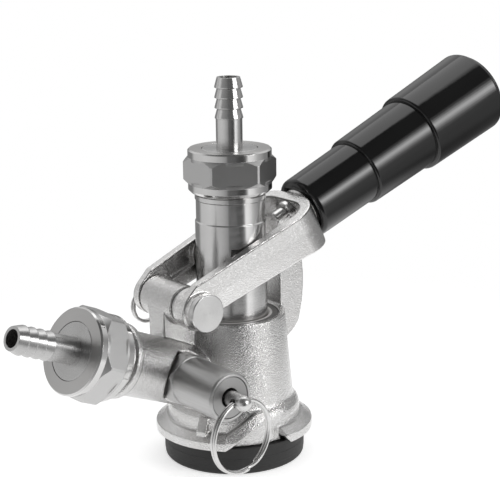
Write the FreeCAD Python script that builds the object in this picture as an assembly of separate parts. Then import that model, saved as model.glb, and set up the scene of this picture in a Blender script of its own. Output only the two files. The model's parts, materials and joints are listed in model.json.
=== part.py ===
import FreeCAD, Part
import math
import os

# Keg coupler, in millimetres. The origin is the centre of the seal's underside.
# +Z runs up the probe, +X towards the handle, -Y towards the relief valve.

# Running and seating clearances, and how deep joined shapes sink into each other
slide_gap = 0.05
seat_gap = 0.1
free_gap = 0.35
join = 1.0

# Body seal
seal_r = 23.7
seal_height = 9.2
seal_bore_r = 14.3
seal_edge = 1.4
seal_bore_edge = 0.8
seal_line_height = 2.5
seal_line_depth = 0.15
seal_lip_wall = 2.7
seal_lip_height = 3.8

# Body casting: collar, shoulder and bell
collar_r = 22.3
collar_height = 7.6
shoulder_rise = 4.0
bell_base_r = 20.2
bell_top_r = 17.6
bell_height = 28.4
chamber_r = 15.2
chamber_height = 15.0
chamber_cone = 3.0
rim_bore_r = 15.5
rim_bore_depth = 0.5
rim_edge = 0.7

# Bayonet lugs
lug_r = 26.5
lug_rim = 2.9
lug_bevel_r = 23.4
lug_bevel_rise = 1.8
lug_start = 93.5
lug_level = 133.5
lug_ramp = 36.0
lug_ramp_slope = 36.0
lug_ramp_band = 4.8
lug_ramp_top_r = 23.8
lug_nose_cut = 1.6
lug_count = 2
stop_width = 3.4
stop_r = 25.0
stop_height = 5.2
stop_angle = 207.0

# Probe
probe_r = 11.8
probe_neck_r = 11.45
probe_recess = 5.2
probe_step_height = 31.4
probe_neck_length = 7.2
probe_bore_r = 4.2
probe_notch_depth = 2.4
probe_notch_height = 11.5
probe_tip_wall = 2.2
tip_seal_height = 4.6
tip_seal_lip = 0.5
collar_ring_height = 1.7
collar_ring_step = 0.3

# Check ball at the probe's foot
ball_r = 4.1
ball_space = 1.2
ball_travel = 3.0
ball_seat_height = 3.2
ball_seat_bore_r = 2.6
ball_seat_chamfer = 0.9
ball_pin_r = 0.8

# Probe seals in the body
ring_section_r = 0.95
ring_lower_height = 36.0
ring_spacing = 3.6
ring_count = 2
ring_cover = 1.5

# Hose union: nut, tailpiece and washer, the same on the beer and the gas side
nut_flats = 27.0
nut_corner_r = 15.35
nut_chamfer_angle = 45.0
nut_flange_r = 13.8
nut_top_flange = 2.6
nut_hex_height = 8.8
nut_low_flange = 3.0
nut_edge = 0.5
nut_lip = 3.2
nut_clear = 0.8
thread_r = 11.1
tail_hub_r = 9.25
tail_flange_height = 2.0
tail_neck_r = 4.35
tail_neck_length = 9.8
barb_r = 4.65
barb_root_r = 3.8
tail_edge = 0.25
barb_count = 4
barb_pitch = 3.33
tail_bore_r = 2.85
washer_height = 2.0
washer_bore_r = 4.6

# Gas arm
gas_tilt = 22.6
gas_yaw = 5.9
gas_axis_height = 23.0
gas_reach = 72.4
gas_arm_r = 10.5
gas_arm_root_r = 9.9
gas_bore_r = 4.5
gas_seat_r = 12.2
gas_seat_length = 3.0
gas_stub_length = 9.0
valve_flange_r = 7.4
valve_flange_height = 1.4
valve_body_r = 4.9
valve_length = 11.0
valve_wall = 1.5
valve_lip = 0.6

# Hinge post and barrel
pivot_reach = 23.3
pivot_rise = 7.6
barrel_r = 6.5
barrel_near = 6.7
barrel_far = 10.8
post_near = 3.1
post_far = 5.6

# Hinge pin
pin_r = 3.0
pin_head_r = 6.12
pin_head_height = 2.0
pin_tail = 3.5
pin_hole_r = 1.3
pin_edge = 0.5
pin_washer_r = 5.9
pin_washer_height = 0.9

# Lever yoke, along its own length from the hinge pin
rest_angle = 22.0
yoke_reach = 57.3
yoke_half_root = 14.7
yoke_half_tip = 17.1
yoke_gap_root = 11.4
yoke_gap_tip = 12.8
yoke_corner_r = 12.0
yoke_wall_end = 4.1
yoke_gap_corner_r = 8.0
yoke_top = 8.3
yoke_low_root = 4.1
yoke_low_mid = 5.4
yoke_low_tip = 7.2
yoke_low_root_at = 7.7
yoke_low_mid_at = 40.0
yoke_crease = 1.9
yoke_draft_top = 0.45
yoke_draft_low = 0.9
yoke_low_corner_r = 9.5
eye_r = 6.7
eye_top_angle = 118.0
eye_low_angle = -72.0
eye_top_flat = 2.2
eye_near_inner = 8.4
eye_boss_r = 6.0
eye_boss_height = 1.8
channel_low = 0.6
channel_top = 6.9
channel_depth = 1.9
channel_start = 8.0
drive_lug_r = 5.1
drive_lug_at = 25.55
drive_lug_rise = 1.1
drive_lug_boss_r = 7.2

# Handle stem and locking plunger
handle_rise = 0.9
stem_r = 8.0
stem_neck_r = 7.3
stem_length = 31.0
rod_r = 4.5
rod_length = 60.0
rod_socket = 9.0
plunger_rise = 4.1
plunger_r = 2.1
plunger_tip_at = 46.4
plunger_pull = 4.2
plunger_edge = 0.4
plunger_collar_r = 2.75
plunger_collar_height = 3.8
plunger_tail_r = 1.3
plunger_tail_length = 6.0
bush_r = 3.1
bush_flange_r = 3.5
bush_flange_height = 2.2
bush_length = 7.0
spring_chamber_length = 16.0
link_pin_r = 1.0
link_cover = 0.8

# Grip: three stepped sections
grip_gap = 0.6
grip_lengths = [26.3, 28.3, 33.6]
grip_front_r = [11.1, 12.55, 14.5]
grip_back_r = [11.5, 13.3, 15.5]
grip_nose = 2.0
grip_lip = 0.95
grip_end_round = 1.3
cap_r = 13.9
cap_height = 1.5
cap_spigot_r = 7.0
cap_spigot_length = 4.5

# Sector plate behind the probe
sector_r = 49.7
sector_half = 5.5
sector_inner = 16.3
sector_top = 72.0
sector_foot_r = 14.0
sector_low = 36.0
groove_low_angle = 6.0
groove_floor_gap = 0.45

# Relief valve on the gas arm
relief_x = 27.5
relief_seat_y = 9.4
relief_flats = 16.0
relief_corner_r = 8.9
relief_hex_height = 5.8
relief_hex_edge = 0.8
relief_hex_turn = -22.6
relief_r = 7.9
relief_length = 19.9
relief_edge = 0.5
relief_spigot_r = 5.5
relief_spigot_length = 2.7
relief_bore_r = 2.2
relief_chamber_r = 5.0
relief_floor = 3.9
relief_cap_r = 6.75
relief_cap_height = 3.2
relief_cap_hole_r = 3.0
stem_rod_r = 1.6
stem_knob_r = 2.5
stem_knob_length = 12.0
stem_knob_reach = 9.0
stem_knob_round = 2.3
stem_disc_r = 4.3
stem_disc_height = 2.0
stem_seal_height = 1.0
stem_seal_r = 3.6
stem_hole_r = 1.5
stem_hole_from_tip = 4.7
gasket_r = 7.6
gasket_height = 0.8

# Wire rings and springs
wire_r = 0.56
ring_sink = 0.05
pull_ring_r = 11.64
pull_ring_lean = 0.8
pull_ring_yaw = 6.0
pin_ring_r = 5.4
spring_wire_r = 0.4
plunger_spring_turns = 6
relief_spring_turns = 5

X_AXIS = FreeCAD.Vector(1, 0, 0)
Y_AXIS = FreeCAD.Vector(0, 1, 0)
Z_AXIS = FreeCAD.Vector(0, 0, 1)
ORIGIN = FreeCAD.Vector(0, 0, 0)

# Places worked out from the sizes above
flange_z = seal_height + seat_gap
shoulder_z = flange_z + collar_height
bell_z = shoulder_z + shoulder_rise
bell_top_z = bell_z + bell_height
pivot_z = bell_top_z + pivot_rise
step_z = bell_top_z + probe_step_height
neck_top_z = step_z + probe_neck_length
ring_top_z = neck_top_z + collar_ring_height
nut_height = nut_top_flange + nut_hex_height + nut_low_flange
nut_top_z = ring_top_z + nut_clear + nut_height
stub_depth = nut_lip + tail_flange_height + washer_height + 3 * seat_gap
stub_top_z = nut_top_z - stub_depth
chamber_floor_z = flange_z + seal_lip_height
chamber_top_z = chamber_floor_z + chamber_height
bush_z = ring_lower_height + (ring_count - 1) * ring_spacing + ring_cover
bush_height = bell_top_z - rim_bore_depth - bush_z


def vec(x, y, z):
    return FreeCAD.Vector(x, y, z)


def spin(profile):
    """Turned solid about Z from its (radius, height) corners."""
    points = [vec(radius, 0, height) for radius, height in profile]
    face = Part.Face(Part.makePolygon(points + points[:1]))
    return face.revolve(ORIGIN, Z_AXIS, 360)


def tube(outer, inner, low, high):
    """Plain ring about Z."""
    return spin([(inner, low), (outer, low), (outer, high), (inner, high)])


def disc(radius, low, high):
    return Part.makeCylinder(radius, high - low, vec(0, 0, low))


def bar(radius, start, end):
    """Round bar between two points."""
    return Part.makeCylinder(radius, (end - start).Length, start, end - start)


def block(x0, x1, y0, y1, z0, z1):
    return Part.makeBox(x1 - x0, y1 - y0, z1 - z0, vec(x0, y0, z0))


def prism(points, start, depth):
    """Straight solid from a closed outline, pushed along a vector from a start shift."""
    wire = Part.makePolygon([p + start for p in points + points[:1]])
    return Part.Face(wire).extrude(depth)


def rims(shape, places):
    """Round edges of a turned piece, picked by radius and height."""
    found = []
    for edge in shape.Edges:
        curve = edge.Curve
        if not isinstance(curve, Part.Circle):
            continue
        for radius, height in places:
            if abs(curve.Radius - radius) < 1e-4 and abs(curve.Center.z - height) < 1e-4:
                found.append(edge)
    return found


def rounded(shape, size, places):
    return shape.makeFillet(size, rims(shape, places))


def bevelled(shape, size, places):
    return shape.makeChamfer(size, rims(shape, places))


def hexagon(flats, low, high):
    """Hexagonal bar about Z with a corner on +X."""
    corner = flats / math.sqrt(3)
    points = []
    for side in range(6):
        angle = math.radians(60 * side)
        points.append(vec(corner * math.cos(angle), corner * math.sin(angle), 0))
    return prism(points, vec(0, 0, low), vec(0, 0, high - low))


def turned(shape, axis, angle, centre=ORIGIN):
    copy = shape.copy()
    copy.rotate(centre, axis, angle)
    return copy


def moved(shape, shift):
    copy = shape.copy()
    copy.translate(shift)
    return copy


def aimed(shape, place, direction, roll=0.0):
    """Copy of a piece built up Z, aimed along a direction at a place."""
    copy = turned(shape, Z_AXIS, roll)
    copy.Placement = FreeCAD.Placement(place, FreeCAD.Rotation(Z_AXIS, direction)) * copy.Placement
    return copy


def coil(radius, wire, length, turns):
    """Coil spring about Z, standing on z = 0."""
    height = length - 2 * wire
    path = Part.makeHelix(height / turns, height, radius)
    ring = Part.Wire(Part.makeCircle(wire, vec(radius, 0, 0), Y_AXIS))
    spring = Part.Wire(path).makePipeShell([ring], True, True)
    return moved(spring, vec(0, 0, wire))


def wire_ring(radius):
    """Two touching turns of wire about Z, joined into one ring."""
    lower = Part.makeTorus(radius, wire_r, vec(0, 0, ring_sink - wire_r))
    upper = Part.makeTorus(radius, wire_r, vec(0, 0, wire_r - ring_sink))
    return lower.fuse(upper).removeSplitter()


# Directions and places of the inclined parts

def gas_direction():
    tilt = math.radians(gas_tilt)
    yaw = math.radians(gas_yaw)
    return vec(-math.cos(tilt) * math.cos(yaw), -math.cos(tilt) * math.sin(yaw), math.sin(tilt))


def gas_point(distance):
    """Point on the gas arm's axis, measured out from the probe's axis."""
    return vec(0, 0, gas_axis_height) + gas_direction() * distance


def gas_distance_at(x):
    return x / gas_direction().x


def relief_axis_z():
    return gas_point(gas_distance_at(-relief_x)).z


def on_lever(shape):
    """Lever piece from its own level frame to the rest pose."""
    raised = turned(shape, Y_AXIS, -rest_angle)
    return moved(raised, vec(-pivot_reach, 0, pivot_z))


# Body

def make_body_seal():
    lip_r = seal_bore_r + seal_lip_wall
    line_low = seal_line_height
    line_r = seal_r - seal_line_depth
    shape = spin([
        (seal_bore_r, 0), (line_r, 0), (line_r, line_low), (seal_r, line_low),
        (seal_r, seal_height), (lip_r, seal_height),
        (lip_r, seal_height + seal_lip_height), (seal_bore_r, seal_height + seal_lip_height)])
    shape = rounded(shape, seal_edge, [(line_r, 0)])
    return bevelled(shape, seal_bore_edge, [(seal_bore_r, 0)])


def ring_part(profile, angle):
    """Part of a turned solid, from +X round to an angle."""
    points = [vec(radius, 0, height) for radius, height in profile]
    return Part.Face(Part.makePolygon(points + points[:1])).revolve(ORIGIN, Z_AXIS, angle)


def make_lug():
    """One bayonet lug: a level rim that climbs to the shoulder at its tail."""
    root = collar_r - join
    rim_top = flange_z + lug_rim
    level = ring_part([(root, flange_z), (lug_r, flange_z), (lug_r, rim_top),
                       (lug_bevel_r, rim_top + lug_bevel_rise), (root, rim_top + lug_bevel_rise)], lug_level)
    nose = block(0, 2 * lug_r, -lug_nose_cut, lug_nose_cut, -lug_nose_cut, lug_nose_cut)
    level = level.cut(moved(turned(nose, X_AXIS, 45), vec(0, 0, flange_z)))
    wedge = ring_part([(root, flange_z), (lug_r, flange_z), (lug_r, rim_top),
                       (lug_ramp_top_r, bell_z), (root, bell_z)], lug_ramp)
    slab = block(0, 2 * lug_r, -lug_r, 2 * lug_r, 0, lug_ramp_band * math.cos(math.radians(lug_ramp_slope)))
    slab = moved(turned(slab, X_AXIS, lug_ramp_slope), vec(0, 0, flange_z))
    ramp = turned(wedge.common(slab), Z_AXIS, lug_level)
    return turned(level.fuse(ramp), Z_AXIS, lug_start)


def make_stop():
    """Small fin on the collar that the keg's neck stops against."""
    low = flange_z + lug_rim
    root = collar_r - join
    outline = [vec(root, 0, low), vec(stop_r, 0, low), vec(stop_r, 0, low + stop_height / 2),
               vec(collar_r, 0, low + lug_bevel_rise + stop_height), vec(root, 0, low + stop_height)]
    fin = prism(outline, vec(0, -stop_width / 2, 0), vec(0, stop_width, 0))
    return turned(fin, Z_AXIS, stop_angle)


def make_bell():
    swell = shoulder_rise / 4
    return spin([
        (0, flange_z), (collar_r, flange_z), (collar_r, shoulder_z),
        (collar_r - swell * 0.3, shoulder_z + swell * 1.6),
        (collar_r - swell, shoulder_z + swell * 2.8),
        (bell_base_r, bell_z), (bell_top_r, bell_top_z), (0, bell_top_z)])


def make_gas_arm():
    """Cast arm about its own axis, with a turned seat and a threaded stub at its end."""
    stub_end = gas_reach - stub_depth
    seat_end = stub_end - gas_stub_length
    arm_end = seat_end - gas_seat_length
    arm = spin([(0, 0), (gas_arm_root_r, 0), (gas_arm_r, arm_end), (0, arm_end)])
    seat = disc(gas_seat_r, arm_end, seat_end)
    seat = bevelled(seat, nut_edge, [(gas_seat_r, seat_end), (gas_seat_r, arm_end)])
    stub = bevelled(disc(thread_r, seat_end, stub_end), nut_edge, [(thread_r, stub_end)])
    return aimed(arm.fuse([seat, stub]), gas_point(0), gas_direction())


def make_hinge_post():
    x = -pivot_reach
    post = block(x - barrel_r, x + barrel_r, -post_near, post_far, gas_point(gas_distance_at(x)).z, pivot_z)
    barrel = bar(barrel_r, vec(x, -barrel_near, pivot_z), vec(x, barrel_far, pivot_z))
    return post.fuse(barrel)


def make_sector():
    """Plate behind the probe, rounded about the hinge, with the plunger's groove in its rim."""
    width = 2 * sector_half
    pivot = vec(-pivot_reach, -sector_half, pivot_z)
    wheel = Part.makeCylinder(sector_r, width, pivot, Y_AXIS)
    inside = block(sector_inner, sector_r, -sector_half, sector_half, sector_low, sector_top)
    base = block(bell_top_r / 2, sector_inner + join, -sector_half, sector_half, sector_low, bell_top_z)
    foot_x = sector_r - pivot_reach - sector_foot_r
    foot_z = sector_low + sector_foot_r
    foot = Part.makeCylinder(sector_foot_r, width, vec(foot_x, -sector_half, foot_z), Y_AXIS)
    corner = block(foot_x, sector_r, -sector_half, sector_half, sector_low, foot_z)
    plate = wheel.common(inside).fuse(base).cut(corner.cut(foot))
    floor_r = plunger_tip_at - groove_floor_gap
    groove_half = plunger_r + free_gap
    near = vec(-pivot_reach, -groove_half, pivot_z)
    groove = Part.makeCylinder(2 * sector_r, 2 * groove_half, near, Y_AXIS)
    groove = groove.cut(Part.makeCylinder(floor_r, width, pivot, Y_AXIS))
    below = block(-sector_r, 3 * sector_r, -sector_half, sector_half, -3 * sector_r, 0)
    below = moved(turned(below, Y_AXIS, groove_low_angle), vec(-pivot_reach, 0, pivot_z))
    return plate.cut(groove.cut(below))


def make_body_casting():
    shape = make_bell()
    for copy in range(lug_count):
        turn = 360 * copy / lug_count
        shape = shape.fuse([turned(make_lug(), Z_AXIS, turn), turned(make_stop(), Z_AXIS, turn)])
    shape = shape.fuse([make_gas_arm(), make_hinge_post(), make_sector()])
    lip_r = seal_bore_r + seal_lip_wall + seat_gap
    way = spin([
        (0, flange_z - join), (lip_r, flange_z - join), (lip_r, chamber_floor_z + seat_gap),
        (chamber_r, chamber_floor_z + seat_gap), (chamber_r, chamber_top_z),
        (probe_r + slide_gap, chamber_top_z + chamber_cone), (probe_r + slide_gap, bush_z),
        (rim_bore_r, bush_z), (rim_bore_r, bell_top_z + join), (0, bell_top_z + join)])
    open_rim = Part.makeCylinder(rim_bore_r, sector_top, vec(0, 0, bell_top_z))
    shape = shape.cut([way, open_rim])
    for number in range(ring_count):
        height = ring_lower_height + number * ring_spacing
        groove_r = probe_r + 2 * ring_section_r + seat_gap
        shape = shape.cut(tube(groove_r, probe_r - join, height - ring_section_r - seat_gap,
                               height + ring_section_r + seat_gap))
    bore = disc(gas_bore_r, 0, gas_reach)
    valve_seat = disc(valve_flange_r + seat_gap, gas_reach - stub_depth - valve_flange_height - seat_gap,
                      gas_reach)
    valve_way = disc(valve_body_r + free_gap, gas_reach - stub_depth - valve_length - join, gas_reach)
    bore = aimed(bore.fuse([valve_seat, valve_way]), gas_point(0), gas_direction())
    inner = Part.makeCylinder(probe_r, bell_top_z, ORIGIN)
    shape = shape.cut(bore.cut(inner))
    z = relief_axis_z()
    seat_r = relief_corner_r + free_gap
    spot = bar(seat_r, vec(-relief_x, -relief_seat_y, z), vec(-relief_x, -4 * relief_seat_y, z))
    hole = bar(relief_spigot_r + slide_gap, vec(-relief_x, gas_point(gas_distance_at(-relief_x)).y, z),
               vec(-relief_x, -2 * relief_seat_y, z))
    boss = bar(relief_corner_r, vec(-relief_x, -post_near, z), vec(-relief_x, -relief_seat_y, z))
    shape = shape.fuse(boss.cut(bore)).cut([spot, hole])
    pin_way = bar(pin_r + slide_gap, vec(-pivot_reach, -2 * barrel_near, pivot_z),
                  vec(-pivot_reach, 2 * barrel_far, pivot_z))
    return shape.cut(pin_way).removeSplitter()


def make_probe_seal_ring(number):
    height = ring_lower_height + number * ring_spacing
    return Part.makeTorus(probe_r + slide_gap + ring_section_r, ring_section_r, vec(0, 0, height))


def make_guide_bush():
    inner = probe_r + slide_gap
    shape = tube(rim_bore_r - slide_gap, inner, bush_z, bush_z + bush_height)
    return bevelled(shape, rim_edge, [(inner, bush_z + bush_height)])


# Hinge pin and its ring

def pin_hole_y():
    """Where the ring's cross hole lies beyond the yoke's far face."""
    return yoke_half_root + 2 * wire_r + free_gap + seat_gap + free_gap / 2


def make_hinge_pin():
    far = yoke_half_root + pin_tail
    head = yoke_half_root + eye_boss_height + seat_gap
    shape = spin([
        (0, -far), (pin_r - pin_edge, -far), (pin_r, pin_edge - far), (pin_r, head),
        (pin_head_r, head), (pin_head_r, head + pin_head_height), (0, head + pin_head_height)])
    shape = bevelled(shape, pin_edge / 2, [(pin_head_r, head + pin_head_height)])
    hole = bar(pin_hole_r, vec(-2 * pin_r, 0, -pin_hole_y()), vec(2 * pin_r, 0, -pin_hole_y()))
    return aimed(shape.cut(hole), vec(-pivot_reach, 0, pivot_z), -Y_AXIS)


def make_pin_washer():
    low = barrel_near + seat_gap
    shape = tube(pin_washer_r, pin_r + slide_gap, low, low + pin_washer_height)
    shape = bevelled(shape, pin_edge / 2, [(pin_washer_r, low + pin_washer_height)])
    return aimed(shape, vec(-pivot_reach, 0, pivot_z), -Y_AXIS)


def hung_ring(radius, hole_r, half_hole, lean, yaw):
    """Wire ring that hangs in a cross hole along X, whose centre is the origin."""
    room = hole_r - wire_r - slide_gap - half_hole * math.sin(math.radians(yaw))
    reach = half_hole + lean
    sag = radius - math.sqrt(radius ** 2 - reach ** 2)
    top = sag - math.sqrt(room ** 2 - wire_r ** 2)
    return turned(aimed(wire_ring(radius), vec(lean, 0, top - radius), Y_AXIS), Z_AXIS, yaw)


def make_hinge_pin_ring():
    ring = hung_ring(pin_ring_r, pin_hole_r, pin_r, 0, 0)
    return moved(ring, vec(-pivot_reach, pin_hole_y(), pivot_z))


# Probe

def make_probe_tube():
    low = probe_recess
    ball_bore = ball_r + ball_space
    ball_top = ball_pin_z() + ball_pin_r
    seat_r = ball_bore + join
    shape = spin([
        (seat_r, low), (probe_r - probe_tip_wall, low), (probe_r - probe_tip_wall, low + tip_seal_height),
        (probe_r, low + tip_seal_height), (probe_r, step_z), (probe_neck_r, step_z + probe_r - probe_neck_r),
        (probe_neck_r, neck_top_z), (probe_neck_r - collar_ring_step, neck_top_z),
        (probe_neck_r - collar_ring_step, neck_top_z + collar_ring_step),
        (probe_neck_r + collar_ring_step, neck_top_z + collar_ring_step),
        (probe_neck_r + collar_ring_step, ring_top_z), (thread_r, ring_top_z), (thread_r, stub_top_z),
        (probe_bore_r, stub_top_z), (probe_bore_r, ball_top + ball_bore - probe_bore_r),
        (ball_bore, ball_top),
        (ball_bore, low + ball_seat_height), (seat_r, low + ball_seat_height)])
    shape = bevelled(shape, nut_edge, [(thread_r, stub_top_z)])
    floor_y = probe_r - probe_notch_depth
    for side in (-1, 1):
        y0, y1 = sorted((side * floor_y, side * 2 * probe_r))
        notch = block(-2 * probe_r, 2 * probe_r, y0, y1, notch_low(), notch_low() + probe_notch_height)
        shape = shape.cut(notch)
    hole = bar(ball_pin_r, vec(-2 * probe_r, 0, ball_pin_z()), vec(2 * probe_r, 0, ball_pin_z()))
    return shape.cut(hole)


def drive_lug_centre():
    """Centre of the lever's drive lugs at rest, in the part's frame."""
    angle = math.radians(rest_angle)
    x = drive_lug_at * math.cos(angle) - drive_lug_rise * math.sin(angle)
    z = drive_lug_at * math.sin(angle) + drive_lug_rise * math.cos(angle)
    return x - pivot_reach, z + pivot_z


def notch_low():
    return drive_lug_centre()[1] - probe_notch_height / 2


def make_tip_seal():
    inner = probe_r - probe_tip_wall + slide_gap
    low = probe_recess - tip_seal_lip
    outer = probe_r + tip_seal_lip
    shape = tube(outer, inner, low, probe_recess + tip_seal_height - seat_gap)
    return rounded(shape, tip_seal_lip, [(outer, low)])


def make_ball_seat():
    low = probe_recess
    outer = ball_r + ball_space + join - slide_gap
    top = low + ball_seat_height - seat_gap
    return spin([
        (ball_seat_bore_r, low), (outer, low), (outer, top), (ball_seat_bore_r + ball_seat_chamfer, top),
        (ball_seat_bore_r, top - ball_seat_chamfer)])


def ball_centre_z():
    """Ball height when it rests on the inner edge of its seat."""
    edge = probe_recess + ball_seat_height - seat_gap - ball_seat_chamfer
    return edge + math.sqrt(ball_r ** 2 - ball_seat_bore_r ** 2) + slide_gap


def ball_pin_z():
    """Height of the pin that stops the ball at the top of its travel."""
    return ball_centre_z() + ball_r + ball_travel + ball_pin_r + seat_gap


def make_check_ball():
    return Part.makeSphere(ball_r, vec(0, 0, ball_centre_z()))


def make_ball_pin():
    reach = probe_r - free_gap
    return bar(ball_pin_r - slide_gap / 2, vec(-reach, 0, ball_pin_z()), vec(reach, 0, ball_pin_z()))


# Hose unions, built with the nut's outer face at z = 0

def make_hex_nut():
    low = -nut_height
    hex_low = low + nut_low_flange
    hex_top = -nut_top_flange
    chamfer = (nut_corner_r - nut_flange_r) * math.tan(math.radians(nut_chamfer_angle))
    outline = spin([
        (0, low), (nut_flange_r, low), (nut_flange_r, hex_low), (nut_corner_r, hex_low + chamfer),
        (nut_corner_r, hex_top - chamfer), (nut_flange_r, hex_top), (nut_flange_r, 0), (0, 0)])
    hexed = outline.common(hexagon(nut_flats, hex_low, hex_top))
    shape = hexed.fuse([
        bevelled(disc(nut_flange_r, hex_top - join, 0), nut_edge, [(nut_flange_r, 0)]),
        bevelled(disc(nut_flange_r, low, hex_low + join), 2 * nut_edge, [(nut_flange_r, low)])])
    thread = disc(thread_r + slide_gap, low - join, -nut_lip)
    hub = disc(tail_hub_r + slide_gap, -nut_lip - join, join)
    return shape.cut([thread, hub]).removeSplitter()


def make_tailpiece():
    flange_top = -nut_lip - seat_gap
    flange_low = flange_top - tail_flange_height
    corners = [
        (tail_bore_r, flange_low), (thread_r - seat_gap, flange_low), (thread_r - seat_gap, flange_top),
        (tail_hub_r, flange_top), (tail_hub_r, -tail_edge), (tail_hub_r - tail_edge, 0), (tail_neck_r, 0),
        (tail_neck_r, tail_neck_length)]
    z = tail_neck_length
    for barb in range(barb_count):
        corners += [(barb_r, z), (barb_r, z + tail_edge), (barb_root_r, z + barb_pitch)]
        z += barb_pitch
    corners.append((tail_bore_r, z))
    return spin(corners)


def make_union_washer():
    top = -nut_lip - tail_flange_height - 2 * seat_gap
    return tube(thread_r - seat_gap, washer_bore_r, top - washer_height, top)


def on_beer_side(shape):
    return moved(turned(shape, Z_AXIS, 30), vec(0, 0, nut_top_z))


def on_gas_side(shape):
    return aimed(shape, gas_point(gas_reach), gas_direction(), 30)


def make_gas_check_valve():
    """Rubber duckbill: a flange, a round body and two lips that close to a line."""
    top = gas_reach - stub_depth - slide_gap
    tip = top - valve_length
    waist = top - valve_length / 2
    flange = disc(valve_flange_r, top - valve_flange_height, top)
    body = disc(valve_body_r, waist, top)
    wedge = prism([vec(-valve_body_r, 0, waist), vec(valve_body_r, 0, waist),
                   vec(valve_lip, 0, tip), vec(-valve_lip, 0, tip)],
                  vec(0, -valve_body_r, 0), vec(0, 2 * valve_body_r, 0))
    lips = wedge.common(disc(valve_body_r, tip, waist))
    hollow = disc(valve_body_r - valve_wall, waist + valve_wall, top + join)
    return aimed(flange.fuse([body, lips]).cut(hollow), gas_point(0), gas_direction())


# Relief valve, built with its seat at z = 0 and its face outwards

def on_relief(shape, roll=0.0):
    return aimed(shape, vec(-relief_x, -relief_seat_y, relief_axis_z()), -Y_AXIS, roll)


def make_relief_body():
    hex_low = gasket_height + seat_gap
    hex_top = relief_hex_height
    face = relief_hex_height + relief_length
    rim = relief_corner_r - relief_hex_edge
    corner = spin([(0, hex_low), (rim, hex_low), (relief_corner_r, hex_low + relief_hex_edge),
                   (relief_corner_r, hex_top - relief_hex_edge), (rim, hex_top), (0, hex_top)])
    hexed = turned(hexagon(relief_flats, hex_low, hex_top), Z_AXIS, relief_hex_turn)
    shape = hexed.common(corner)
    sleeve = bevelled(disc(relief_r, hex_top - join, face), relief_edge, [(relief_r, face)])
    spigot = disc(relief_spigot_r, -relief_spigot_length, hex_low + join)
    chamber = disc(relief_chamber_r, relief_floor, face)
    cap_seat = disc(relief_cap_r + slide_gap, face - relief_cap_height, face + join)
    way = disc(relief_bore_r, -relief_spigot_length - join, relief_floor + join)
    return on_relief(shape.fuse([sleeve, spigot]).cut([chamber, cap_seat, way]).removeSplitter())


def make_relief_cap():
    face = relief_hex_height + relief_length
    low = face - relief_cap_height + seat_gap
    high = face - seat_gap
    shape = tube(relief_cap_r, relief_cap_hole_r, low, high)
    return on_relief(bevelled(shape, relief_edge / 2, [(relief_cap_r, high), (relief_cap_hole_r, high)]))


def make_relief_gasket():
    return on_relief(tube(gasket_r, relief_spigot_r + slide_gap, seat_gap / 2, gasket_height))


def relief_disc_low():
    return relief_floor + stem_seal_height + seat_gap / 2


def make_relief_seal():
    low = relief_floor + slide_gap / 2
    return on_relief(tube(stem_seal_r, stem_rod_r / 2 + slide_gap, low, relief_disc_low() - slide_gap / 2))


def make_relief_stem():
    face = relief_hex_height + relief_length
    low = relief_disc_low()
    knob_top = face + stem_knob_reach
    knob_low = knob_top - stem_knob_length
    shape = spin([
        (0, low - stem_seal_height), (stem_rod_r / 2, low - stem_seal_height), (stem_rod_r / 2, low),
        (stem_disc_r, low), (stem_disc_r, low + stem_disc_height),
        (stem_rod_r, low + stem_disc_height), (stem_rod_r, knob_low - join), (stem_knob_r, knob_low),
        (stem_knob_r, knob_top), (0, knob_top)])
    shape = rounded(shape, stem_knob_round, [(stem_knob_r, knob_top)])
    z = knob_top - stem_hole_from_tip
    return on_relief(shape.cut(bar(stem_hole_r, vec(-2 * stem_knob_r, 0, z), vec(2 * stem_knob_r, 0, z))))


def make_relief_spring():
    low = relief_disc_low() + stem_disc_height + slide_gap
    high = relief_hex_height + relief_length - relief_cap_height
    spring = coil(stem_disc_r - spring_wire_r, spring_wire_r, high - low, relief_spring_turns)
    return on_relief(moved(spring, vec(0, 0, low)))


def pull_ring_y():
    face = relief_hex_height + relief_length
    return -(relief_seat_y + face + stem_knob_reach - stem_hole_from_tip)


def make_pull_ring():
    ring = hung_ring(pull_ring_r, stem_hole_r, stem_knob_r, pull_ring_lean, pull_ring_yaw)
    return moved(ring, vec(-relief_x, pull_ring_y(), relief_axis_z()))


# Lever yoke, built level with its hinge pin at the origin

def plan_wire(half_root, half_tip, corner, reach, start, height):
    """Closed U outline in plan: two arms that widen, and a round-cornered end."""
    flat = half_tip - corner
    mid = corner * math.sqrt(0.5)
    centre = reach - corner
    begin = half_root + (half_tip - half_root) * start / centre
    open_near = vec(start, -begin, height)
    open_far = vec(start, begin, height)
    near = vec(centre, -half_tip, height)
    far = vec(centre, half_tip, height)
    near_end = vec(reach, -flat, height)
    far_end = vec(reach, flat, height)
    return Part.Wire([
        Part.makeLine(open_near, near),
        Part.Arc(near, vec(centre + mid, -flat - mid, height), near_end).toShape(),
        Part.makeLine(near_end, far_end),
        Part.Arc(far_end, vec(centre + mid, flat + mid, height), far).toShape(),
        Part.makeLine(far, open_far),
        Part.makeLine(open_far, open_near)])


def plan_solid(half_root, half_tip, corner, reach, start, low, high):
    wire = plan_wire(half_root, half_tip, corner, reach, start, low)
    return Part.Face(wire).extrude(vec(0, 0, high - low))


def eye_point(angle):
    angle = math.radians(angle)
    return vec(eye_r * math.cos(angle), 0, eye_r * math.sin(angle))


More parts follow.
